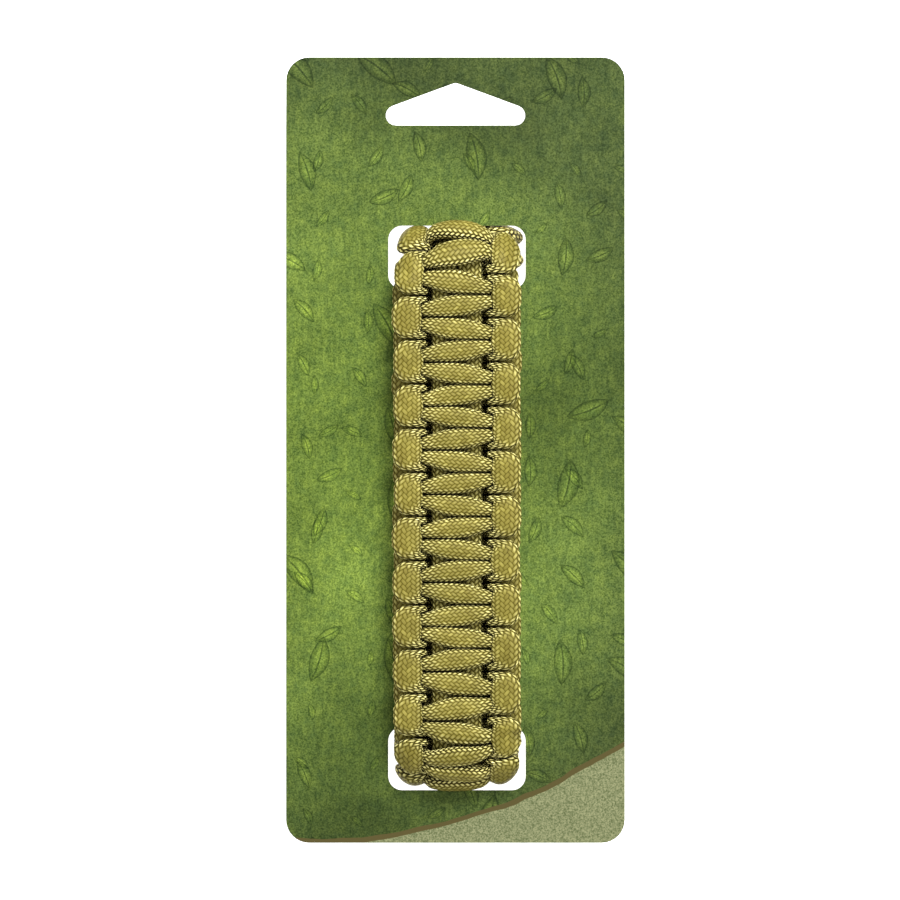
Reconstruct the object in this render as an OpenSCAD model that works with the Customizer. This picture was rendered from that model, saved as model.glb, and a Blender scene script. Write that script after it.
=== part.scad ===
// Knotted cord bracelet of half-knots tied round two filler cords, closed by a clasp
// and slipped through the two cutouts of a flat display card.
// Millimetres, Z up. The back of the loop rests on the floor, the hang hole points to +Y.

/* [Loop] */
// Length of the closed loop, measured along the middle of the band
loop_length = 228.6; // [226:0.1:232]
// Radius of the band's middle line where it folds round the ends of the card
fold_r = 7; // [6.8:0.1:7.4]
// Sideways place of the band's middle on the card
band_x = 0.3; // [0:0.1:0.5]
// Lengthways place of the band's middle on the card
band_y = -11.5; // [-11.7:0.1:-11.4]

/* [Knots] */
// Distance from one crossbar to the next along the band
knot_pitch = 4.46; // [4.42:0.02:4.5]
// Crossbars on each side of the middle one
side_knots = 21; // [20:1:21]

/* [Filler cords] */
// Distance of each filler cord from the middle of the band
core_x = 2.3; // [2.3:0.05:2.4]
// Half the width of a filler cord
core_half_w = 2.1; // [1.8:0.05:2.15]
// Half the thickness of a filler cord
core_half_t = 1.5; // [1.3:0.05:1.55]
// Radius of a filler cord's way round the clasp's bar
eye_r = 3.2; // [3.1:0.05:3.25]

/* [Clasp] */
// Width of the clasp
clasp_w = 21; // [18:0.5:24]
// Thickness of the clasp's body
clasp_t = 7; // [6:0.5:8]
// Distance between the middles of the clasp's two bars
clasp_reach = 26.6; // [26:0.2:27]
// Length of the clasp's body between its two slots
clasp_body = 16.6; // [14:0.2:17]
// Radius of a bar of the clasp
bar_r = 1.25; // [1:0.05:1.3]
// Width of a slot of the clasp
slot_w = 15; // [12:0.5:16]
// Corner radius of the clasp's body
clasp_corner = 3; // [1:0.5:4]
// Radius of the crown across the clasp's faces
clasp_crown = 40; // [30:5:80]

/* [Card] */
// Width of the card
card_w = 69; // [66:0.5:72]
// Height of the card
card_h = 160; // [156:1:164]
// Thickness of the card
card_t = 0.6; // [0.4:0.1:0.7]
// Corner radius of the card
card_corner = 4.7; // [2:0.1:6]
// Gap between the card and the front run of the band
card_gap = 0.3; // [0.2:0.05:0.4]
// Lengthways place of the middle between the two cutouts
cutout_y = -11.8; // [-11.9:0.1:-11.7]
// Length of the strip of card between the two cutouts
strip_len = 89.2; // [86:0.2:91]
// Distance between the outer edges of the two cutouts
cutout_reach = 115; // [115:0.2:118]
// Width of each cutout
cutout_w = 28; // [27.6:0.1:30]
// Corner radius of each cutout
cutout_corner = 2.85; // [1:0.05:4]

/* [Hang hole] */
// Width of the hang hole
hang_w = 28.4; // [24:0.1:32]
// Height of the hang hole at its peak
hang_h = 8.6; // [7:0.1:10]
// Distance from the top of the card to the flat lower edge of the hang hole
hang_drop = 13.9; // [13:0.1:16]
// Sideways place of the hang hole's peak
hang_x = 0; // [-1:0.1:1]
// Radius of the hang hole's two round ends
hang_end_r = 2.05; // [1.5:0.05:2.5]
// Radius of the hang hole's peak
hang_peak_r = 1.5; // [0.5:0.1:2]

/* [Hidden] */
$fn = 48;
cord_sides = 6;
arc_steps = 8;

// One strand from the middle of a crossbar (first row) to the middle of its side lobe (last row).
// Columns: across the band, along it in pitches, out from its middle line,
// turn of the section, half the section's height, half the section's width.
knot_rows = [
    [ 0.0,  0.00,  3.25, 90, 1.50, 2.12],
    [ 3.6, -0.05,  3.20, 86, 1.50, 1.90],
    [ 5.8, -0.19,  2.50, 62, 1.45, 1.20],
    [ 7.2, -0.26,  0.00, 22, 1.55, 0.95],
    [ 9.4, -0.18, -1.80, 16, 1.50, 1.05],
    [10.2,  0.16, -2.90,  4, 2.30, 1.50],
    [10.3,  0.50, -3.00,  0, 2.65, 1.60]
];
lobe_row = len(knot_rows) - 1;
// Where the band folds, the outward lobes (the last two rows) are pulled tight:
// further out across, nearer to the middle line and thinner
pulled_rows = 2;
pull_out = 0.2;
pull_in = 0.2;
pull_thin = 0.12;
rings_per_knot = 2 * lobe_row;
// A six-sided section is widened, so that its flats lie where the round cord's sides are
flat_grow = 1.1;
// Length over which the lobes change from one form to the other
fold_ease = 3;

bar_top = knot_rows[0][2] + knot_rows[0][4];
straight_len = (loop_length - 2 * PI * fold_r) / 2;
fold_start = straight_len / 2;
fold_end = fold_start + PI * fold_r;
fold_z = bar_top + fold_r;
card_top = fold_z + fold_r - bar_top - card_gap;

last_knot = side_knots * knot_pitch;
eye_s = (loop_length - clasp_reach) / 2;
core_flat = last_knot + 0.42 * knot_pitch;
core_step = 3;
core_steps = ceil(core_flat / core_step);
eye_turn = 140;
eye_step = 40;

cut_len = (cutout_reach - strip_len) / 2;
cut_mid = (cutout_reach + strip_len) / 4;
hang_y = card_h / 2 - hang_drop;

function unit(v) = v / norm(v);
function smooth(w) = let (c = min(1, max(0, w))) c * c * (3 - 2 * c);

// 1 where the band folds, 0 on its two straight runs
function fold_share(s) =
    smooth((abs(s) - fold_start) / fold_ease + 0.5) *
    smooth((fold_end - abs(s)) / fold_ease + 0.5);

// How much longer the fold makes a line that lies z outside the band's middle line
function stretch(s, z) = 1 + max(0, z) / fold_r * fold_share(s);

// Place on the card of a point given across, along (from the front's middle, towards -Y)
// and out from the band's middle line
function place(p) =
    let (s = abs(p[1]), way = p[1] < 0 ? 1 : -1)
    s < fold_start ? [band_x + p[0], band_y - p[1], fold_z + fold_r + p[2]] :
    s < fold_end ?
        let (a = (s - fold_start) / fold_r * 180 / PI, r = fold_r + p[2])
        [band_x + p[0], band_y + way * (fold_start + r * sin(a)), fold_z + r * cos(a)] :
        [band_x + p[0], band_y + way * (fold_start + fold_end - s), fold_z - fold_r - p[2]];

// Six points round a cord: out and wide are the half sizes along the two section axes
function ring(centre, along, up, out, wide) =
    let (t = unit(along), n = unit(up - (up * t) * t), m = cross(t, n), k = stretch(centre[1], centre[2]))
    [for (i = [0 : cord_sides - 1])
        let (a = 360 * (i + 0.5) / cord_sides,
             d = m * (wide * flat_grow * cos(a)) + n * (out * sin(a)))
        place(centre + [d[0], d[1] / k, d[2]])];

// Ring number i of a strand: ring 0 is the middle of the middle crossbar.
// face is 1 for the strand whose crossbars face outward, -1 for the other.
function knot_number(i) = floor(i / rings_per_knot);
function row_number(i) = let (j = i - rings_per_knot * knot_number(i)) j <= lobe_row ? j : rings_per_knot - j;
function is_second_half(i) = i - rings_per_knot * knot_number(i) > lobe_row;
function knot_side(i) = knot_number(i) % 2 == 0 ? -1 : 1;
function pulled(row, w) = [
    row[0] + w * pull_out, row[1], row[2] * (1 - w * pull_in), row[3],
    row[4] * (1 - w * pull_thin), row[5] * (1 - w * pull_thin)];
function strand_row(i, face) =
    let (row = knot_rows[row_number(i)])
    face > 0 || row_number(i) <= lobe_row - pulled_rows ? row :
    pulled(row, fold_share((knot_number(i) + 0.5) * knot_pitch));
function strand_centre(i, face) =
    let (row = strand_row(i, face), k = knot_number(i))
    [face * knot_side(i) * row[0],
     (is_second_half(i) ? k + 1 - row[1] : k + row[1]) * knot_pitch,
     face * row[2]];
function strand_ring(i, face) =
    let (row = strand_row(i, face), up = [knot_side(i) * cos(row[3]), 0, sin(row[3])])
    ring(strand_centre(i, face), strand_centre(i + 1, face) - strand_centre(i - 1, face),
         face * up, row[4], row[5]);

// The filler cords are one closed ring of cord, with an eye round each bar of the clasp
function core_run(side) = [for (i = [-core_steps : core_steps]) [side * core_x, i / core_steps * core_flat, 0]];
function core_eye() = [for (a = [eye_turn : -eye_step : -eye_turn])
    [-core_x * a / eye_turn, eye_s + eye_r * cos(a), eye_r * sin(a)]];
function turned(list) = [for (p = list) [-p[0], -p[1], p[2]]];
function half_core() = concat(core_run(-1), core_eye());
function core_points() = concat(half_core(), turned(half_core()));
function core_up(before, after) =
    let (t = unit(after - before)) abs(t[1]) > 0.99 ? [0, 0, 1] : cross([1, 0, 0], t);

// Solid through a list of rings, closed on itself or capped at its two ends
module sweep(rings, closed = false) {
    count = len(rings);
    last = closed ? count - 1 : count - 2;
    walls = [for (i = [0 : last], j = [0 : cord_sides - 1])
        let (next = (j + 1) % cord_sides,
             a = i * cord_sides + j, b = i * cord_sides + next,
             c = (i + 1) % count * cord_sides + next, d = (i + 1) % count * cord_sides + j)
        each [[a, c, b], [a, d, c]]];
    caps = closed ? [] : [
        [for (j = [0 : cord_sides - 1]) j],
        [for (j = [cord_sides - 1 : -1 : 0]) (count - 1) * cord_sides + j]];
    polyhedron(points = [for (r = rings) each r], faces = concat(walls, caps), convexity = 10);
}

module strand(face) {
    reach = (side_knots + 0.5) * rings_per_knot;
    sweep([for (i = [-reach : reach]) strand_ring(i, face)]);
}

function arc(centre, r, from, to) = [for (i = [0 : arc_steps])
    let (a = from + (to - from) * i / arc_steps) centre + r * [cos(a), sin(a)]];

module rounded_rect(w, h, r) {
    corner = [w / 2 - r, h / 2 - r];
    signs = [[1, 1], [-1, 1], [-1, -1], [1, -1]];
    polygon([for (q = [0 : 3])
        each arc([corner[0] * signs[q][0], corner[1] * signs[q][1]], r, 90 * q, 90 * q + 90)]);
}

// Flat edge at y = 0, two round ends and a rounded peak
module hang_outline() {
    end_x = hang_w / 2 - hang_end_r;
    peak_y = hang_h - hang_peak_r;
    rise = atan2(peak_y - hang_end_r, end_x);
    lean = asin((hang_end_r - hang_peak_r) / norm([end_x, peak_y - hang_end_r]));
    edge = 90 - rise + lean;
    polygon(concat(
        arc([end_x, hang_end_r], hang_end_r, -90, edge),
        arc([0, peak_y], hang_peak_r, edge, 180 - edge),
        arc([-end_x, hang_end_r], hang_end_r, 180 - edge, 270)));
}

module display_card() {
    color("olivedrab")
    translate([0, 0, card_top - card_t])
    linear_extrude(card_t)
    difference() {
        rounded_rect(card_w, card_h, card_corner);
        translate([hang_x, hang_y]) hang_outline();
        for (way = [-1, 1])
            translate([band_x, cutout_y + way * cut_mid])
                rounded_rect(cutout_w, cut_len, cutout_corner);
    }
}

module core_cord() {
    points = core_points();
    count = len(points);
    color("darkkhaki")
    sweep([for (i = [0 : count - 1])
        let (before = points[(i + count - 1) % count], after = points[(i + 1) % count])
        ring(points[i], after - before, core_up(before, after), core_half_t, core_half_w)], closed = true);
}

module outer_strand() {
    color("khaki") strand(1);
}

module inner_strand() {
    color("tan") strand(-1);
}

module clasp() {
    rail_w = (clasp_w - slot_w) / 2;
    color("darkolivegreen")
    translate([band_x, band_y, bar_top]) {
        intersection() {
            translate([0, 0, -clasp_t / 2])
                linear_extrude(clasp_t) rounded_rect(clasp_w, clasp_body, clasp_corner);
            clasp_faces();
        }
        for (way = [-1, 1]) {
            translate([0, way * clasp_reach / 2, 0]) rotate([0, 90, 0])
                cylinder(h = clasp_w, r = bar_r, center = true);
            for (side = [-1, 1])
                translate([side * (clasp_w - rail_w) / 2, way * clasp_reach / 4 + way * clasp_body / 8, 0])
                    cube([rail_w, clasp_reach / 2 - clasp_body / 4, 2 * bar_r], center = true);
        }
    }
}

// Both faces of the clasp swell a little across its width
module clasp_faces() {
    intersection_for (way = [-1, 1])
        translate([0, 0, way * (clasp_t / 2 - clasp_crown)]) rotate([90, 0, 0])
            cylinder(h = 2 * clasp_body, r = clasp_crown, center = true, $fn = 96);
}

display_card();
core_cord();
outer_strand();
inner_strand();
clasp();
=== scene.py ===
# Looks of a knotted cord bracelet on its display card: braided sheaths, clasp, printed card.
import math

import bpy
import numpy as np
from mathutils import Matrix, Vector


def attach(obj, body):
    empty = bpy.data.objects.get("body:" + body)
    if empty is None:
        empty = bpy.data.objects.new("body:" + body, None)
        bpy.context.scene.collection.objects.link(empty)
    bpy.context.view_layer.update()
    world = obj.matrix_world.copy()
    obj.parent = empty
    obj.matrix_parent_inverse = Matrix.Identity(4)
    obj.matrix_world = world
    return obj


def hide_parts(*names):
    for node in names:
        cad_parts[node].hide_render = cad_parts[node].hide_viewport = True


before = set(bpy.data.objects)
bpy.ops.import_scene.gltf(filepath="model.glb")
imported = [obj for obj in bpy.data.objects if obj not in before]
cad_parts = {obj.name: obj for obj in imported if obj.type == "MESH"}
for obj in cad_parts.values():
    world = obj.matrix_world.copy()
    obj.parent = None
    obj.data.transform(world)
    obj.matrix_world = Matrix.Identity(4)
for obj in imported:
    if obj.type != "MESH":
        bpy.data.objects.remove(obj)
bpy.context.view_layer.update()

MM = 0.001
SEED = 7
rng = np.random.default_rng(SEED)

# Photograph: its own frame, the pixel of the card's middle and its scale
PHOTO_PX = 900
CARD_MIDDLE_PX = (455.5, 450.0)
PX_PER_MM = 4.91

# Loop of the band, in mm, as the solids have it, but 0.2 mm nearer the hang hole
LOOP_LENGTH = 228.6
FOLD_R = 7.0
BAND_X = 0.3
BAND_Y = -11.3
BAR_TOP = 4.75
KNOT_PITCH = 4.46
SIDE_KNOTS = 21
FOLD_START = (LOOP_LENGTH - 2 * math.pi * FOLD_R) / 4
FOLD_END = FOLD_START + math.pi * FOLD_R
FOLD_Z = BAR_TOP + FOLD_R
CUT_S = (FOLD_START + FOLD_END) / 2

# Shape of the folds, as the photo shows them: lengths in mm, angles in radians round the fold, and shares
FOLD_EASE = 3.0
FOLD_NARROW = 0.035
FOLD_SPREAD = 0.6
BOW_TOP = 1.2
BOW_BOTTOM = 0.6
BOW_HALF_WIDTH = 6.0
BOW_END_ANGLE = 2.5
BOW_END_EASE = 0.9
LOBE_DROP = 0.6
DROP_START = 5.0
DROP_EASE = 3.0
CROWN = 2.4
CROWN_START = 8.0
CROWN_WIDTH = 5.0
SILHOUETTE_ANGLE = 1.2
FACE_EASE = 4.0

# The upper fold's lean to one side, and how the band narrows where that fold turns into the back run
TURN_SHIFT = 1.9
BACK_SHIFT = 0.4
SHIFT_END_ANGLE = 1.9
SHIFT_RUN = 15.0
TURN_NARROW = 0.13
TURN_DELAY = 1.5
TURN_EASE = 4.0
TURN_RUN = 14.0
TURN_RUN_EASE = 8.0

# One strand from the middle of a crossbar to the middle of its side lobe, in mm.
# Columns: centre, half width and half thickness of the section as across, along, out; and its pinch,
# which opens the braid all round it and strengthens its painted highlights and shade there, or below zero
# keeps it shut at its edges too.
KNOT_ROWS = np.array([
    [0.0, 0.00, 3.25, 0.0, -2.17, 0.0, 0.00, 0.0, 1.50, 0.06],
    [3.7, -0.36, 3.20, 0.0, -1.84, 0.0, 0.10, 0.0, 1.50, 0.14],
    [5.9, -0.72, 2.85, 0.0, -1.44, 0.0, 0.40, 0.0, 1.40, 0.5],
    [7.3, -0.85, 1.60, 0.0, -1.25, 0.0, 1.10, 0.0, 0.95, 1.0],
    [7.5, -1.05, -0.20, 0.0, -1.05, 0.0, 1.35, 0.0, 0.10, 1.0],
    [7.2, -1.30, -1.90, 0.1, -0.85, 0.0, 0.90, 0.0, 1.00, 1.0],
    [8.3, -1.28, -2.75, 0.9, -0.85, 0.0, 0.30, 0.0, 1.30, 0.78],
    [9.05, -0.97, -2.98, 1.85, -0.95, 0.0, 0.00, 0.0, 1.45, 0.38],
    [9.6, -0.25, -3.05, 2.55, -0.80, 0.0, 0.00, 0.0, 1.55, 0.0],
    [9.92, 0.70, -3.10, 3.0, -0.35, 0.0, 0.00, 0.0, 1.60, -0.35],
    [9.97, 2.23, -3.10, 3.08, 0.00, 0.0, 0.00, 0.0, 1.62, -0.4],
])
BAR_END_ROW = 2
BEND_ROW = 4
LOBE_START_ROW = 6
LOBE_ROW = len(KNOT_ROWS) - 1
RINGS_PER_KNOT = 2 * LOBE_ROW
SPARE_KNOTS = 2

# How far crossbars and side lobes have slid near the folds: place in pitches from the middle, slide in mm
BARS_SLID = np.array([[-13, 0.0], [-12, -0.1], [-11, -0.4], [-9, -0.4], [-7, 0.0], [7, 0.0], [8, 0.35],
                      [9, 0.95], [10, 1.2], [11, 0.1], [12, -1.6], [13, -2.8], [14, -3.0], [19, 0.0]])
LOBES_SLID = np.array([[-19, 0.0], [-14, 0.3], [-13, 0.4], [-12, 1.2], [-11, 0.5], [-10, -0.2], [-7, -0.2],
                       [7, 0.0], [10, 0.1], [11, -0.5], [12, -2.2], [14, -3.0], [19, 0.0]])
WIDER_SHARE = 0.8

# Spread of the small chance differences between crossbars and between lobes, in mm or as shares
SHIFT_CHANCE = 0.08
TILT_CHANCE = 0.02
HEIGHT_CHANCE = 0.06
REACH_CHANCE = 0.10
WIDTH_CHANCE = 0.02

# Filler cords, and the eyes with which they go round the clasp's bars, in mm
CORE_X = 2.3
CORE_HALF_W = 2.1
CORE_HALF_T = 1.5
CORE_SPREAD = 0.45
CORE_SWELL = 0.4
CORE_RAISED = 0.6
CORE_PAST_KNOTS = 0.42
CORE_EASE = 8.0
CORE_STEPS = 65
CORE_PINCH = 0.3
EYE_R = 3.2
EYE_DEGREES = 140
EYE_STEP = 20
CLASP_REACH = 26.6

# Braided sheath: its stitches in mm, their relief, and how finely its mesh follows the cord
COLUMNS = 16
COLUMN_START = 0.25
STITCH = 1.06
SIDES = 2 * COLUMNS
RINGS_PER_STITCH = 4
RELIEF = 0.13
FLAT_RELIEF = 0.05
RELIEF_LEVEL = 0.6
SECTION_POWER = 2.35
SECTION_POINTS = 129
DENSE_STEPS = 24
EDGE_SHARE = 0.7
EDGE_OPENING = 1.9
BRICK_ACROSS = 3.2
BRICK_ALONG = 2.4

# Ends of the cord: the length that a flame has melted in mm, the first ring's place in ring steps, and a UV
MELTED_LENGTH = 1.5
MELTED_TIP = 0.15
END_UV = (0.5, 0.0)
# Cuts between joined pieces: how strongly they seek the depth between the faces, against the place along
DEPTH_WEIGHT = 9

# Fine surface of the sheath: filaments of a yarn, fuzz, their shares of a stitch's height, and depths in mm
FILAMENTS = 4
FILAMENT_HEIGHT = 0.05
FUZZ_SCALE = 9.0
FUZZ_HEIGHT = 0.15
FUZZ_SHADE = 0.3
FLAT_BUMP = 0.12
BUMP = 0.3
# Reach in mm of the painted shade that darkens crevices
CREVICE_SHADE_REACH = 1.1
DRIFT_SCALE = 90.0

# Colours of the cord by the height of its stitches, with painted shade in the low gaps and a painted
# highlight on the tops: mild where it lies flat, strong where it bends
CORD_FLAT_GAP_SHADE = [(0.0, (0.040, 0.033, 0.003)), (0.22, (0.096, 0.080, 0.011)),
             (0.42, (0.133, 0.113, 0.020)), (0.9, (0.159, 0.137, 0.028))]
CORD_BENT_SHADE_HIGHLIGHT = [(0.0, (0.002, 0.002, 0.0001)), (0.3, (0.014, 0.011, 0.001)),
             (0.66, (0.122, 0.103, 0.018)), (0.96, (0.76, 0.70, 0.28))]
CORD_MELTED = (0.035, 0.028, 0.006)
# Factors on the cord's colour: a slow drift, a chance value of each stitch, and painted shade in crevices by
# ambient occlusion
CORD_DRIFT = [(0.3, (0.90, 0.90, 0.88)), (0.7, (1.08, 1.07, 1.05))]
STITCH_TONES = [(0.0, (0.80, 0.78, 0.71)), (0.25, (0.95, 0.94, 0.92)),
                (0.75, (1.03, 1.03, 1.06)), (1.0, (1.38, 1.39, 1.55))]
CREVICE_SHADE_TONES = [(0.2, (0.03, 0.025, 0.01)), (0.76, (1.0, 1.0, 1.0))]

# Colours of the card
CARD_GREENS = [(0.32, (0.048, 0.075, 0.014)), (0.5, (0.077, 0.117, 0.022)), (0.70, (0.119, 0.178, 0.034))]
CARD_SAGE = (0.110, 0.124, 0.062)
CARD_LINE = (0.055, 0.045, 0.015)
CARD_BOARD = (0.45, 0.45, 0.43)
# Factors on the card's green: grain, clouds, slanted streaks, shade away from the bright spot, and leaves
CARD_GRAIN = [(0.34, (0.50, 0.56, 0.44)), (0.66, (1.58, 1.46, 1.50))]
CARD_CLOUDS = [(0.32, (0.72, 0.78, 0.85)), (0.68, (1.30, 1.22, 1.10))]
CARD_STREAKS = [(0.3, (0.84, 0.86, 0.88)), (0.7, (1.16, 1.14, 1.10))]
CARD_SHADE = [(0.15, (1.05, 1.07, 1.04)), (0.64, (0.63, 0.65, 0.77)), (0.85, (0.31, 0.315, 0.48))]
LEAF_TONES = [(0.0, (1.0, 1.0, 1.0)), (0.03, (0.38, 0.44, 0.40)),
              (0.12, (0.85, 0.88, 0.80)), (0.34, (1.55, 1.50, 1.30))]
LEAF_RIB = (0.62, 0.66, 0.60)

# Print of the card: scales of its textures per metre, and places and sizes in metres
GREEN_SCALE = 16.0
GRAIN_SCALE = 3400.0
CLOUD_SCALE = 420.0
STREAK_DEGREES = 50
STREAK_SCALE = (1300, 190, 1)
CARD_TOP = 0.0137
BRIGHT_SPOT = (-0.034, -0.005, CARD_TOP)
SHADE_REACH = 0.1
CORNER_MIDDLE = (-0.030, 0.035, CARD_TOP)
CORNER_R = 0.1165
CORNER_LINE_R = 0.1155
CORNER_WAVE = 0.003
CORNER_WAVE_SCALE = 60.0

# Leaves of the print: for each size its cells in metres and a shift; their turn in radians, and shares
LEAF_PRINTS = ((0.017, 0.0), (0.011, 0.23))
LEAF_SCATTER = 0.6
LEAF_TURN = 1.2
LEAF_SIZE = 0.15
LEAF_SIZE_CHANCE = 0.17
LEAF_WIDTH = 0.42
LEAF_CURL = 0.12
RIB_WIDTH = 0.035
RIB_END = 0.05

# Clasp: its colours, the scales of its textures per metre, and its sizes in metres
CLASP_OLIVES = [(0.3, (0.040, 0.041, 0.020)), (0.7, (0.055, 0.057, 0.030))]
CLASP_CLOUD_SCALE = 160.0
SPARK_SCALE = 4200.0
SPARK_DEPTH = 0.00003
CLASP_BEVEL = 0.0005

# Floor, lights and camera, in metres
FLOOR_SIZE = 3.0
FLOOR_DROP = 0.0002
SKY_STRENGTH = 1.05
LIGHTS_AIM = (0, 0, 0.012)
CAMERA_DISTANCE = 1.4
SENSOR_MM = 36


def smooth(w):
    """A share that eases in and out between 0 and 1 as w goes from 0 to 1."""
    share = np.clip(w, 0.0, 1.0)
    return share * share * (3 - 2 * share)


def fold_share(s):
    """1 on the folds and 0 on the straight runs. s is the way along the band from its middle."""
    entered = smooth((np.abs(s) - FOLD_START) / FOLD_EASE + 0.5)
    return entered * smooth((FOLD_END - np.abs(s)) / FOLD_EASE + 0.5)


def stretch(s, z):
    """How much longer than on its middle line the band is at s, at z out from that line."""
    return 1 + np.maximum(0, z) / FOLD_R * fold_share(s)


def drawn_in(s):
    """How much narrower the band is where its upper fold turns into the back run, as a share."""
    entered = smooth((-s - CUT_S - TURN_DELAY) / TURN_EASE)
    return TURN_NARROW * entered * smooth((FOLD_END + TURN_RUN + s) / TURN_RUN_EASE)


def leaning(angle, run_back):
    """How far the upper fold leans to one side: most a little past its top edge, less on the back run."""
    fallen_back = (TURN_SHIFT - BACK_SHIFT) * smooth(angle - SHIFT_END_ANGLE)
    return (TURN_SHIFT * smooth(angle / math.pi) - fallen_back) * smooth(2 - run_back / SHIFT_RUN)


def rounded_corners(x, s, z, top):
    """How far the band's outer edges are drawn in at a fold, so that its silhouette has round corners."""
    past_silhouette = smooth((s - FOLD_START) / FOLD_R - SILHOUETTE_ANGLE)
    crown = CROWN * (1 - top * past_silhouette)
    sunk = LOBE_DROP * smooth((np.abs(x) - DROP_START) / DROP_EASE)
    sunk = sunk + crown * np.clip((np.abs(x) - CROWN_START) / CROWN_WIDTH, 0, 1) ** 2
    return sunk * smooth(0.5 + z / FACE_EASE) * fold_share(s)


def place(points):
    """Points given across, along and out from the band's middle line, put on the folded loop, in metres."""
    x, s, z = points[..., 0], np.abs(points[..., 1]), points[..., 2]
    way = np.where(points[..., 1] < 0, 1.0, -1.0)
    z = z - rounded_corners(x, s, z, way > 0)
    angle = np.clip((s - FOLD_START) / FOLD_R, 0, math.pi)
    run_front = np.minimum(s, FOLD_START)
    run_back = np.maximum(s - FOLD_END, 0)
    x = x + leaning(angle, run_back) * (way > 0)
    y = BAND_Y + way * (run_front - run_back + (FOLD_R + z) * np.sin(angle))
    height = FOLD_Z + (FOLD_R + z) * np.cos(angle)
    return np.stack([BAND_X + x, y, height], axis=-1) * MM


def hermite(t, values, at):
    """Smooth cubic curve through values at the places t, read at the places in at."""
    slope = np.gradient(values, t, axis=0)
    i = np.clip(np.searchsorted(t, at, side="right") - 1, 0, len(t) - 2)
    h = (t[i + 1] - t[i])[:, None]
    u = ((at - t[i]) / (t[i + 1] - t[i]))[:, None]
    a, b, da, db = values[i], values[i + 1], slope[i] * h, slope[i + 1] * h
    start = (2 * u**3 - 3 * u**2 + 1) * a + (u**3 - 2 * u**2 + u) * da
    return start + (3 * u**2 - 2 * u**3) * b + (u**3 - u**2) * db


def make_uneven(rows, knot, table_row, second, tilt_way):
    """Vary each crossbar and lobe a little by chance. Returns their shift and tilt along the band.

    second is true on the way back from a knot's lobe to the next crossbar.
    """
    own = knot + SIDE_KNOTS + SPARE_KNOTS
    bar = np.where(second, own + 1, own)
    near_bar = smooth(1 - table_row / BEND_ROW)
    near_lobe = smooth((table_row - BEND_ROW) / (LOBE_ROW - BEND_ROW))
    knots = 2 * (SIDE_KNOTS + SPARE_KNOTS) + 1
    bar_shift = near_bar * rng.normal(0, SHIFT_CHANCE, knots)[bar]
    shift = bar_shift + near_lobe * rng.normal(0, SHIFT_CHANCE, knots)[own]
    tilt = near_bar * rng.normal(0, TILT_CHANCE, knots)[bar] * rows[:, 0] * tilt_way
    rows[:, 2] += near_bar * rng.normal(0, HEIGHT_CHANCE, knots)[bar]
    rows[:, 0] += near_lobe * rng.normal(0, REACH_CHANCE, knots)[own]
    rows[:, 3:6] *= (1 + near_lobe * rng.normal(0, WIDTH_CHANCE, knots)[own])[:, None]
    return shift, tilt


def bow_out(rows, knot, second):
    """Bow the crossbars outwards at the folds."""
    bowed = np.maximum(0, 1 - (rows[:, 0] / BOW_HALF_WIDTH) ** 2)
    bow = np.where(knot < 0, BOW_TOP, BOW_BOTTOM)
    bar_s = (knot + second) * KNOT_PITCH
    angle = (np.abs(bar_s) - FOLD_START) / FOLD_R
    before_underside = smooth((BOW_END_ANGLE - angle) / BOW_END_EASE)
    rows[:, 2] += bow * bowed * fold_share(bar_s) * before_underside


def slide_near_folds(rows, table_row):
    """Slide crossbars and lobes as their tables say, and widen or narrow a crossbar to the room it has."""
    pitches = rows[:, 1] / KNOT_PITCH
    wider = np.interp(pitches + 0.5, *BARS_SLID.T) - np.interp(pitches - 0.5, *BARS_SLID.T)
    as_lobe = smooth((table_row - BAR_END_ROW) / (LOBE_START_ROW - BAR_END_ROW))
    rows[:, 1] += (1 - as_lobe) * np.interp(pitches, *BARS_SLID.T)
    rows[:, 1] += as_lobe * np.interp(pitches, *LOBES_SLID.T)
    rows[:, 4] *= 1 + WIDER_SHARE * wider / KNOT_PITCH


def strand_stations(face):
    """Rows of centre, half width, half thickness and pinch along a strand. face is 1 or -1."""
    reach = int((SIDE_KNOTS + 0.5) * RINGS_PER_KNOT)
    knot, table_row = np.divmod(np.arange(-reach, reach + 1), RINGS_PER_KNOT)
    second = table_row > LOBE_ROW
    table_row = np.where(second, RINGS_PER_KNOT - table_row, table_row)
    side = np.where(knot % 2 == 0, -1.0, 1.0)
    turned = np.where(second, -1.0, 1.0)
    rows = KNOT_ROWS[table_row].copy()

    shift, tilt = make_uneven(rows, knot, table_row, second, side * -turned)
    row_s = rows[:, 1] + knot * KNOT_PITCH
    rows[:, 0] *= 1 - FOLD_NARROW * fold_share(row_s) - drawn_in(row_s)
    if face > 0:
        bow_out(rows, knot, second)
    rows[:, 1] = np.where(second, KNOT_PITCH - rows[:, 1], rows[:, 1]) + knot * KNOT_PITCH + shift + tilt
    slide_near_folds(rows, table_row)

    # Mirrored to the side and the face where each row lies
    one = np.ones(len(knot))
    rows[:, 0:3] *= np.stack([side * face, one, one * face], axis=-1)
    rows[:, 3:6] *= np.stack([one * face, side * turned, side * face], axis=-1)
    rows[:, 6:9] *= np.stack([side * face, turned, one * face], axis=-1)
    return rows


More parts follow.
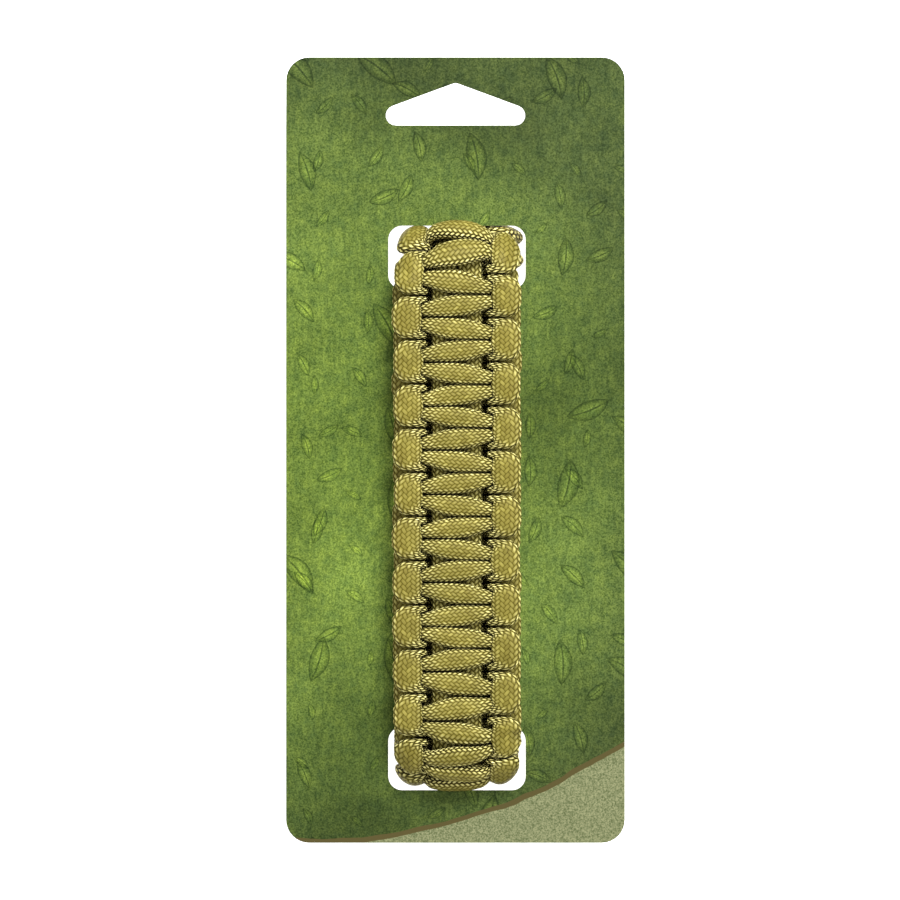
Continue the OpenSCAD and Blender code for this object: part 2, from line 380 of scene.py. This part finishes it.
def core_stations():
    """The filler cords as one closed ring: along one side, round the clasp's bar, back on the other side."""
    flat = (SIDE_KNOTS + CORE_PAST_KNOTS) * KNOT_PITCH
    eye_s = (LOOP_LENGTH - CLASP_REACH) / 2
    half = []
    for s in np.linspace(-flat, flat, CORE_STEPS):
        inside = smooth((flat - abs(s)) / CORE_EASE)
        spread = CORE_SPREAD * inside
        centre = [-CORE_X - spread / 2, s, CORE_RAISED * inside * (1 - fold_share(s))]
        high = CORE_HALF_T + CORE_SWELL * spread
        half.append([*centre, CORE_HALF_W + spread, 0, 0, 0, 0, high, CORE_PINCH])
    for degrees in range(EYE_DEGREES, -EYE_DEGREES - 1, -EYE_STEP):
        angle = math.radians(degrees)
        up_s, up_z = math.cos(angle), math.sin(angle)
        centre = [-CORE_X * degrees / EYE_DEGREES, eye_s + EYE_R * up_s, EYE_R * up_z]
        half.append([*centre, CORE_HALF_W, 0, 0, 0, CORE_HALF_T * up_s, CORE_HALF_T * up_z, CORE_PINCH])
    half = np.array(half)
    other = half * np.array([-1, -1, 1, 1, 1, -1, 1, 1, -1, 1])
    return np.concatenate([half, other, half[:1]])


def stations_at(stations, ring_step):
    """Stations spaced evenly in real length, taken as the mean of the cord's middle and its two edges."""
    chord = np.linalg.norm(np.diff(stations[:, :3], axis=0), axis=1)
    t = np.concatenate([[0], np.cumsum(chord)])
    dense = np.linspace(0, t[-1], len(t) * DENSE_STEPS)
    rows = hermite(t, stations, dense)
    lines = (-EDGE_SHARE, 0, EDGE_SHARE)
    steps = 0
    for edge in lines:
        line = place(rows[:, 0:3] + edge * rows[:, 3:6]) / MM
        steps = steps + np.linalg.norm(np.diff(line, axis=0), axis=1) / len(lines)
    length = np.concatenate([[0], np.cumsum(steps)])
    count = int(length[-1] / ring_step)
    at = np.interp(np.linspace(0, length[-1], count + 1), length, dense)
    return hermite(t, stations, at), length[-1]


def section(high, wide, sides):
    """Points of a flattened section at even steps round it, and which way each faces."""
    angle = np.linspace(0, 2 * math.pi, SECTION_POINTS)
    power = 2 / SECTION_POWER
    across = np.sign(np.cos(angle)) * np.abs(np.cos(angle)) ** power
    out = np.sign(np.sin(angle)) * np.abs(np.sin(angle)) ** power
    outline = np.stack([wide[:, None] * across, high[:, None] * out], axis=-1)
    steps = np.linalg.norm(np.diff(outline, axis=1), axis=2)
    length = np.concatenate([np.zeros((len(high), 1)), np.cumsum(steps, axis=1)], axis=1)
    length /= length[:, -1:]
    even = np.arange(sides) / sides
    points = np.empty((len(high), sides, 2))
    for i in range(len(high)):
        points[i, :, 0] = np.interp(even, length[i], outline[i, :, 0])
        points[i, :, 1] = np.interp(even, length[i], outline[i, :, 1])
    tangent = np.roll(points, -1, axis=1) - np.roll(points, 1, axis=1)
    facing = np.stack([tangent[..., 1], -tangent[..., 0]], axis=-1)
    return points, facing / np.linalg.norm(facing, axis=2, keepdims=True)


def braid_height(around, along):
    """Height of the sheath's stitches: yarns that pass over two and under two, as slanted bricks.

    p counts the rows and q the columns of the two slanted ways. Of each four cells along a row, a brick
    of the row covers two, and bricks of two crossing columns cover one each.
    """
    p, q = along - around, along + around
    row, column = np.floor(p + 0.5), np.floor(q)
    kind = np.mod(column - row, 4)
    left = (kind < 0.5) | (kind > 2.5)
    across_left, across_right = p - row, q - column - 0.5
    length_left = q - column - (kind > 2.5)
    length_right = p - row + np.where(kind > 1.5, -0.5, 0.5)
    across = np.where(left, across_left, across_right)
    length = np.where(left, length_left, length_right)
    return (1 - np.abs(2 * across) ** BRICK_ACROSS) * (1 - np.abs(length) ** BRICK_ALONG)


def cord_rings(stations):
    """Rings of points of a braided cord, their stitch numbers, how open the braid is, which also sets how
    strong its painted highlights and shade are, and their middles.
    """
    rows, length = stations_at(stations, STITCH / RINGS_PER_STITCH)
    centre, wide, high = rows[:, 0:3], rows[:, 3:6], rows[:, 6:9]
    wide_size = np.linalg.norm(wide, axis=1)
    high_size = np.linalg.norm(high, axis=1)
    wide_way = (wide / wide_size[:, None])[:, None, :]
    high_way = (high / high_size[:, None])[:, None, :]
    stitch = np.linspace(0, length / STITCH, len(rows))
    points, facing = section(high_size, wide_size, SIDES)
    around = (np.arange(SIDES) / SIDES * COLUMNS + COLUMN_START)[None, :]
    pinch = rows[:, 9:10]
    # The braid opens at the section's edges and where pinched: deeper relief there, and painted highlights
    # and shade in its colour
    at_edges = np.abs(facing[..., 0]) ** EDGE_OPENING * (1 + np.minimum(pinch, 0))
    opened_and_shading = np.maximum(at_edges, np.clip(pinch, 0, 1))
    relief = FLAT_RELIEF + (RELIEF - FLAT_RELIEF) * opened_and_shading
    raised = relief * (braid_height(around, stitch[:, None]) - RELIEF_LEVEL)
    points = points + facing * raised[..., None]
    offset = points[..., :1] * wide_way + points[..., 1:] * high_way
    offset[..., 1] /= stretch(centre[:, 1], centre[:, 2])[:, None] ** (1 - FOLD_SPREAD)
    return place(centre[:, None, :] + offset), stitch, opened_and_shading, centre


def melt_end(rings, melted, end):
    """Round off a cut end of cord, as a flame leaves it. end is 0 for the first ring and -1 for the last."""
    count = round(MELTED_LENGTH / STITCH * RINGS_PER_STITCH)
    for i in range(count):
        ring = i if end == 0 else -1 - i
        middle = rings[ring].mean(axis=0)
        left = 1 - (i + MELTED_TIP) / count
        rings[ring] = middle + (rings[ring] - middle) * math.sqrt(1 - left**2)
        melted[ring] = smooth(2 * left)


def tube_faces(count, sides, closed):
    """Faces of a tube through count rings of points, with a face at each end unless it is closed."""
    i = np.arange(count - 1)[:, None] * sides
    j = np.arange(sides)[None, :]
    k = (j + 1) % sides
    faces = np.stack([i + j, i + k, i + sides + k, i + sides + j], axis=-1).reshape(-1, 4).tolist()
    if not closed:
        faces.append(list(range(sides - 1, -1, -1)))
        faces.append(list(range((count - 1) * sides, count * sides)))
    return faces


def braid_uv(stitch, sides, closed):
    """UV at the corners of a tube's faces: around in columns of stitches, along in stitches."""
    shape = (len(stitch) - 1, sides)
    u = np.broadcast_to(np.arange(sides)[None, :], shape) / sides * COLUMNS + COLUMN_START
    u_next = u + COLUMNS / sides
    v = np.broadcast_to(stitch[:-1, None], shape)
    v_next = np.broadcast_to(stitch[1:, None], shape)
    uv = np.stack([u, v, u_next, v, u_next, v_next, u, v_next], axis=-1).reshape(-1)
    if not closed:
        uv = np.concatenate([uv, np.tile(END_UV, 2 * sides)])
    return uv.astype(np.float32)


def mesh_from_rings(name, rings, stitch, opened_and_shading, melted, closed=False):
    """A tube through rings of points. It is closed where its last ring lies on its first."""
    count, sides, _ = rings.shape
    mesh = bpy.data.meshes.new(name)
    mesh.from_pydata(rings.reshape(-1, 3).tolist(), [], tube_faces(count, sides, closed))
    mesh.uv_layers.new(name="braid").data.foreach_set("uv", braid_uv(stitch, sides, closed))
    for attribute, values in (("opened_and_shading", opened_and_shading), ("melted", melted)):
        layer = mesh.attributes.new(attribute, "FLOAT", "POINT")
        layer.data.foreach_set("value", values.ravel().astype(np.float32))
    mesh.polygons.foreach_set("use_smooth", np.ones(len(mesh.polygons), bool))
    piece = bpy.data.objects.new(name, mesh)
    bpy.context.scene.collection.objects.link(piece)
    return piece


class Graph:
    """Short names for the nodes of one material."""

    def __init__(self, name):
        self.material = bpy.data.materials.new(name)
        self.material.use_nodes = True
        self.tree = self.material.node_tree
        self.shader = self.tree.nodes["Principled BSDF"]

    def node(self, kind, **values):
        """A new node with its settings."""
        made = self.tree.nodes.new(kind)
        for key, value in values.items():
            setattr(made, key, value)
        return made

    def link(self, source, target):
        self.tree.links.new(source, target)

    def math(self, operation, a, b=None, c=None, clamp=False):
        """Maths of up to three sockets or numbers."""
        made = self.node("ShaderNodeMath", operation=operation, use_clamp=clamp)
        for socket, value in zip(made.inputs, (a, b, c)):
            if value is None:
                continue
            if isinstance(value, (int, float)):
                socket.default_value = value
            else:
                self.link(value, socket)
        return made.outputs[0]

    def choose(self, switch, when_off, when_on):
        """One of two values by a switch of 0 or 1."""
        return self.math("MULTIPLY_ADD", switch, self.math("SUBTRACT", when_on, when_off), when_off)

    def vectors(self, operation, a, b):
        """Vector maths of a socket and either another socket or a fixed vector."""
        made = self.node("ShaderNodeVectorMath", operation=operation)
        self.link(a, made.inputs[0])
        if isinstance(b, tuple):
            made.inputs[1].default_value = b
        else:
            self.link(b, made.inputs[1])
        return made.outputs["Value" if operation == "DISTANCE" else "Vector"]

    def split(self, vector):
        """The three parts of a vector."""
        made = self.node("ShaderNodeSeparateXYZ")
        self.link(vector, made.inputs[0])
        return made.outputs

    def ramp(self, factor, stops):
        """A colour by a factor, between stops of a position and a colour."""
        made = self.node("ShaderNodeValToRGB")
        elements = made.color_ramp.elements
        while len(elements) < len(stops):
            elements.new(0.5)
        for element, (position, colour) in zip(elements, stops):
            element.position = position
            element.color = (*colour, 1)
        self.link(factor, made.inputs[0])
        return made.outputs[0]

    def mix(self, factor, a, b, blend="MIX"):
        """Mix of two colours. A mix node has its colours at inputs 6 and 7 and at output 2."""
        made = self.node("ShaderNodeMix", data_type="RGBA", blend_type=blend)
        for socket, value in ((made.inputs[0], factor), (made.inputs[6], a), (made.inputs[7], b)):
            if isinstance(value, (int, float)):
                socket.default_value = value
            elif isinstance(value, tuple):
                socket.default_value = (*value, 1)
            else:
                self.link(value, socket)
        return made.outputs[2]

    def times(self, a, b):
        """Two colours multiplied."""
        return self.mix(1.0, a, b, "MULTIPLY")

    def noise(self, vector, scale, detail=2.0, roughness=0.5):
        """Cloudy noise around 0.5."""
        made = self.node("ShaderNodeTexNoise")
        made.inputs["Scale"].default_value = scale
        made.inputs["Detail"].default_value = detail
        made.inputs["Roughness"].default_value = roughness
        self.link(vector, made.inputs["Vector"])
        return made.outputs["Fac"]

    def bump(self, height, distance, strength=1.0):
        """The normal of a surface with a fine relief, whose full height is the distance."""
        made = self.node("ShaderNodeBump")
        made.inputs["Distance"].default_value = distance
        made.inputs["Strength"].default_value = strength
        self.link(height, made.inputs["Height"])
        return made.outputs[0]


def braid_nodes(g, uv):
    """The stitches of braid_height as nodes: their height, the way across a yarn, each one's chance value."""
    split = g.split(uv)
    around, along = split[0], split[1]
    p = g.math("SUBTRACT", along, around)
    q = g.math("ADD", along, around)
    row = g.math("FLOOR", g.math("ADD", p, 0.5))
    column = g.math("FLOOR", q)
    kind = g.math("FLOORED_MODULO", g.math("SUBTRACT", column, row), 4.0)
    late = g.math("GREATER_THAN", kind, 2.5)
    left = g.math("ADD", late, g.math("LESS_THAN", kind, 0.5), clamp=True)
    in_row = g.math("SUBTRACT", p, row)
    in_column = g.math("SUBTRACT", q, column)
    length_left = g.math("SUBTRACT", in_column, late)
    length_right = g.math("ADD", in_row, g.math("SUBTRACT", 0.5, g.math("GREATER_THAN", kind, 1.5)))
    across = g.choose(left, g.math("SUBTRACT", in_column, 0.5), in_row)
    length = g.choose(left, length_right, length_left)
    from_middle = g.math("ABSOLUTE", g.math("MULTIPLY", across, 2.0))
    round_across = g.math("SUBTRACT", 1.0, g.math("POWER", from_middle, BRICK_ACROSS))
    round_length = g.math("SUBTRACT", 1.0, g.math("POWER", g.math("ABSOLUTE", length), BRICK_ALONG))
    which = g.node("ShaderNodeCombineXYZ")
    g.link(g.choose(left, column, row), which.inputs[0])
    right_end = g.math("ADD", row, g.math("GREATER_THAN", kind, 1.5))
    g.link(g.choose(left, right_end, g.math("ADD", column, late)), which.inputs[1])
    g.link(left, which.inputs[2])
    chance = g.node("ShaderNodeTexWhiteNoise", noise_dimensions="3D")
    g.link(which.outputs[0], chance.inputs["Vector"])
    return g.math("MULTIPLY", round_across, round_length), across, chance.outputs["Value"]


def cord_material():
    """Braided nylon sheath: yarns over two and under two, fine filaments; painted shade in gaps and crevices
    and painted highlights on stitches where it bends.
    """
    g = Graph("braided_cord")
    uv = g.node("ShaderNodeUVMap", uv_map="braid").outputs[0]
    where = g.node("ShaderNodeTexCoord").outputs["Object"]
    opened_and_shading = g.node("ShaderNodeAttribute", attribute_name="opened_and_shading").outputs["Fac"]
    melted = g.node("ShaderNodeAttribute", attribute_name="melted").outputs["Fac"]
    height, across, chance = braid_nodes(g, uv)
    fuzz = g.noise(uv, FUZZ_SCALE)

    # Painted shade in the low gaps between stitches and painted highlights on their tops, strong where the
    # braid opens at bends and edges
    lit = g.math("MULTIPLY_ADD", fuzz, FUZZ_SHADE, g.math("SUBTRACT", height, FUZZ_SHADE / 2))
    weave_and_shading = g.mix(opened_and_shading, g.ramp(lit, CORD_FLAT_GAP_SHADE), g.ramp(lit, CORD_BENT_SHADE_HIGHLIGHT))
    weave_and_shading = g.times(weave_and_shading, g.ramp(g.noise(where, DRIFT_SCALE, detail=3.0), CORD_DRIFT))
    weave_and_shading = g.times(weave_and_shading, g.ramp(chance, STITCH_TONES))
    # Painted shade: the colour darkens where ambient occlusion finds crevices between stitches, strands and
    # parts
    crevice_shade = g.node("ShaderNodeAmbientOcclusion", samples=8)
    crevice_shade.inputs["Distance"].default_value = CREVICE_SHADE_REACH * MM
    weave_and_shading = g.times(weave_and_shading, g.ramp(crevice_shade.outputs["AO"], CREVICE_SHADE_TONES))
    g.link(g.mix(melted, weave_and_shading, CORD_MELTED), g.shader.inputs["Base Color"])

    filaments = g.math("SINE", g.math("MULTIPLY", across, 2 * math.pi * FILAMENTS))
    fuzzy_height = g.math("MULTIPLY_ADD", fuzz, FUZZ_HEIGHT, height)
    rough_height = g.math("MULTIPLY_ADD", filaments, FILAMENT_HEIGHT, fuzzy_height)
    not_melted = g.math("SUBTRACT", 1.0, melted)
    depth = g.math("MULTIPLY", g.math("MULTIPLY_ADD", opened_and_shading, 1 - FLAT_BUMP, FLAT_BUMP), not_melted)
    g.link(g.bump(g.math("MULTIPLY", rough_height, depth), BUMP * MM), g.shader.inputs["Normal"])
    g.shader.inputs["Roughness"].default_value = 0.45
    g.shader.inputs["Specular IOR Level"].default_value = 0.06
    return g.material


def leaf_nodes(g, where, cell, shift):
    """Scattered pointed leaves: how far inside a leaf each place is, and how near its midrib."""
    flat = g.vectors("MULTIPLY", g.vectors("ADD", where, (shift, shift, 0)), (1 / cell, 1 / cell, 0))
    cells = g.node("ShaderNodeTexVoronoi", feature="F1", voronoi_dimensions="2D")
    cells.inputs["Scale"].default_value = 1.0
    cells.inputs["Randomness"].default_value = LEAF_SCATTER
    g.link(flat, cells.inputs["Vector"])
    from_middle = g.vectors("SUBTRACT", flat, cells.outputs["Position"])
    chance = g.node("ShaderNodeSeparateColor")
    g.link(cells.outputs["Color"], chance.inputs[0])
    turned = g.node("ShaderNodeVectorRotate", rotation_type="Z_AXIS")
    g.link(from_middle, turned.inputs["Vector"])
    g.link(g.math("MULTIPLY_ADD", chance.outputs[0], 2 * LEAF_TURN, -LEAF_TURN), turned.inputs["Angle"])
    split = g.split(turned.outputs[0])
    size = g.math("MULTIPLY_ADD", chance.outputs[1], LEAF_SIZE_CHANCE, LEAF_SIZE)
    x = g.math("DIVIDE", split[0], size)
    y = g.math("DIVIDE", split[1], size)
    y_squared = g.math("MULTIPLY", y, y)
    side = g.math("ABSOLUTE", g.math("ADD", x, g.math("MULTIPLY", y_squared, LEAF_CURL)))
    inside = g.math("SUBTRACT", g.math("MULTIPLY_ADD", y_squared, -LEAF_WIDTH, LEAF_WIDTH), side)
    return inside, side


def mottled_green(g, where, grain):
    """The print's green with its grain, clouds and streaks, brightest round one spot."""
    slanted = g.node("ShaderNodeMapping")
    slanted.inputs["Rotation"].default_value = (0, 0, math.radians(STREAK_DEGREES))
    slanted.inputs["Scale"].default_value = STREAK_SCALE
    g.link(where, slanted.inputs["Vector"])
    clouds = g.ramp(g.noise(where, CLOUD_SCALE, detail=4.0, roughness=0.7), CARD_CLOUDS)
    streaks = g.ramp(g.noise(slanted.outputs[0], 1.0), CARD_STREAKS)
    from_spot = g.math("MULTIPLY", g.vectors("DISTANCE", where, BRIGHT_SPOT), 1 / SHADE_REACH)
    green = g.ramp(g.noise(where, GREEN_SCALE, detail=3.0, roughness=0.6), CARD_GREENS)
    for layer in (grain, clouds, streaks, g.ramp(from_spot, CARD_SHADE)):
        green = g.times(green, layer)
    return green


def with_leaves(g, where, printed):
    """The print with scattered leaves on it, in two sizes."""
    for cell, shift in LEAF_PRINTS:
        inside, side = leaf_nodes(g, where, cell, shift)
        narrow = g.math("LESS_THAN", side, RIB_WIDTH)
        rib = g.math("MULTIPLY", narrow, g.math("GREATER_THAN", inside, RIB_END))
        printed = g.times(printed, g.mix(rib, g.ramp(inside, LEAF_TONES), LEAF_RIB))
    return printed


def with_corner(g, where, printed, grain):
    """The print with its sage corner, behind a thin wavy line."""
    from_middle = g.vectors("DISTANCE", where, CORNER_MIDDLE)
    wave = g.noise(where, CORNER_WAVE_SCALE, detail=3.0)
    wavy = g.math("MULTIPLY_ADD", wave, CORNER_WAVE, from_middle)
    outside = g.math("GREATER_THAN", wavy, CORNER_R)
    line = g.math("GREATER_THAN", wavy, CORNER_LINE_R)
    return g.mix(outside, g.mix(line, printed, CARD_LINE), g.times(CARD_SAGE, grain))


def card_material():
    """Green print with scattered leaves and a sage corner on board; plain back and cut edges."""
    g = Graph("printed_card")
    where = g.node("ShaderNodeTexCoord").outputs["Object"]
    grain = g.ramp(g.noise(where, GRAIN_SCALE, roughness=0.6), CARD_GRAIN)
    printed = with_leaves(g, where, mottled_green(g, where, grain))
    printed = with_corner(g, where, printed, grain)
    normal = g.split(g.node("ShaderNodeNewGeometry").outputs["Normal"])
    front = g.math("GREATER_THAN", normal[2], 0.5)
    g.link(g.mix(front, CARD_BOARD, printed), g.shader.inputs["Base Color"])
    g.shader.inputs["Roughness"].default_value = 0.5
    g.shader.inputs["Specular IOR Level"].default_value = 0.04
    return g.material


def clasp_material():
    """Dark olive moulded plastic with a fine spark texture."""
    g = Graph("moulded_clasp")
    where = g.node("ShaderNodeTexCoord").outputs["Object"]
    cloud = g.ramp(g.noise(where, CLASP_CLOUD_SCALE, detail=3.0), CLASP_OLIVES)
    g.link(cloud, g.shader.inputs["Base Color"])
    spark = g.bump(g.noise(where, SPARK_SCALE), SPARK_DEPTH, strength=0.6)
    g.link(spark, g.shader.inputs["Normal"])
    g.shader.inputs["Roughness"].default_value = 0.48
    return g.material


def floor_material():
    """Matt white, lightly lit by itself so that it stays as white as the photo's ground."""
    g = Graph("pale_floor")
    g.shader.inputs["Base Color"].default_value = (0.93, 0.93, 0.93, 1)
    g.shader.inputs["Roughness"].default_value = 0.9
    g.shader.inputs["Specular IOR Level"].default_value = 0.1
    g.shader.inputs["Emission Color"].default_value = (1, 1, 1, 1)
    g.shader.inputs["Emission Strength"].default_value = 0.75
    return g.material


def finish_piece(piece, material, node):
    """Dress a piece, fix it to the body and hide the node's solid that it shows instead."""
    piece.data.materials.append(material)
    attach(piece, "root")
    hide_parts(node)


def build_strand(node, face, material):
    """A strand in four joined stretches, cut where it dives between lobes: at each fold and in the middle."""
    rings, stitch, opened_and_shading, centre = cord_rings(strand_stations(face))
    melted = np.zeros_like(opened_and_shading)
    melt_end(rings, melted, 0)
    melt_end(rings, melted, -1)
    cuts = [0]
    for cut_s in (-CUT_S, 0, CUT_S):
        off_cut = np.abs(centre[:, 1] - cut_s) + DEPTH_WEIGHT * np.abs(centre[:, 2])
        cuts.append(int(np.argmin(off_cut)))
    cuts.append(len(rings) - 1)
    names = ["back_top", "front_top", "front_bottom", "back_bottom"]
    for name, start, end in zip(names, cuts[:-1], cuts[1:]):
        part = slice(start, end + 1)
        piece = mesh_from_rings(f"{node}_{name}", rings[part], stitch[part], opened_and_shading[part], melted[part])
        finish_piece(piece, material, node)


def build_core(material):
    """The filler cords as one closed ring of braided cord."""
    rings, stitch, opened_and_shading, _ = cord_rings(core_stations())
    rings[-1] = rings[0]
    piece = mesh_from_rings("core_cord_braided", rings, stitch, opened_and_shading, np.zeros_like(opened_and_shading), closed=True)
    finish_piece(piece, material, "core_cord")


def build_clasp(material):
    """The clasp's solid with its edges rounded."""
    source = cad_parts["clasp"]
    piece = bpy.data.objects.new("clasp_moulded", source.data.copy())
    bpy.context.scene.collection.objects.link(piece)
    piece.data.materials.clear()
    bevel = piece.modifiers.new("edges", "BEVEL")
    bevel.width = CLASP_BEVEL
    bevel.segments = 3
    bevel.limit_method = "ANGLE"
    bevel.angle_limit = math.radians(35)
    finish_piece(piece, material, "clasp")


def dress_card(material):
    """The card stays the solid's own mesh, with the print as its material."""
    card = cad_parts["display_card"]
    card.data.materials.clear()
    card.data.materials.append(material)


def build_floor():
    """A wide white floor just under the part."""
    half = FLOOR_SIZE / 2
    corners = [(-half, -half, 0), (half, -half, 0), (half, half, 0), (-half, half, 0)]
    mesh = bpy.data.meshes.new("floor")
    mesh.from_pydata(corners, [], [(0, 1, 2, 3)])
    floor = bpy.data.objects.new("floor", mesh)
    bpy.context.scene.collection.objects.link(floor)
    floor.location.z = -FLOOR_DROP
    mesh.materials.append(floor_material())


def add_area_light(name, place_at, size, power):
    """A round light at a place, aimed at the bracelet."""
    light = bpy.data.lights.new(name, "AREA")
    light.shape = "DISK"
    light.size = size
    light.energy = power
    lamp = bpy.data.objects.new(name, light)
    lamp.location = place_at
    direction = Vector(LIGHTS_AIM) - Vector(place_at)
    lamp.rotation_euler = direction.to_track_quat("-Z", "Y").to_euler()
    bpy.context.scene.collection.objects.link(lamp)


def build_lights():
    """An even white sky, a key light beyond the card's top end and a weak fill from the right."""
    world = bpy.data.worlds.new("studio")
    bpy.context.scene.world = world
    world.use_nodes = True
    world.node_tree.nodes["Background"].inputs[0].default_value = (1, 1, 1, 1)
    world.node_tree.nodes["Background"].inputs[1].default_value = SKY_STRENGTH
    add_area_light("key", place_at=(0.14, 0.50, 0.60), size=0.3, power=11.5)
    add_area_light("fill", place_at=(0.35, 0.10, 0.7), size=0.5, power=2.4)
    bpy.context.scene.view_settings.view_transform = "Standard"


def build_camera():
    """Straight above the card, far enough to see it without perspective spread."""
    width = PHOTO_PX / PX_PER_MM * MM
    data = bpy.data.cameras.new("camera")
    data.sensor_width = SENSOR_MM
    data.lens = data.sensor_width * CAMERA_DISTANCE / width
    camera = bpy.data.objects.new("camera", data)
    x = (PHOTO_PX / 2 - CARD_MIDDLE_PX[0]) / PX_PER_MM * MM
    y = (CARD_MIDDLE_PX[1] - PHOTO_PX / 2) / PX_PER_MM * MM
    camera.location = (x, y, CAMERA_DISTANCE + CARD_TOP)
    bpy.context.scene.collection.objects.link(camera)
    bpy.context.scene.camera = camera


build_camera()
cord = cord_material()
build_strand("outer_strand", 1, cord)
build_strand("inner_strand", -1, cord)
build_core(cord)
build_clasp(clasp_material())
dress_card(card_material())
build_floor()
build_lights()
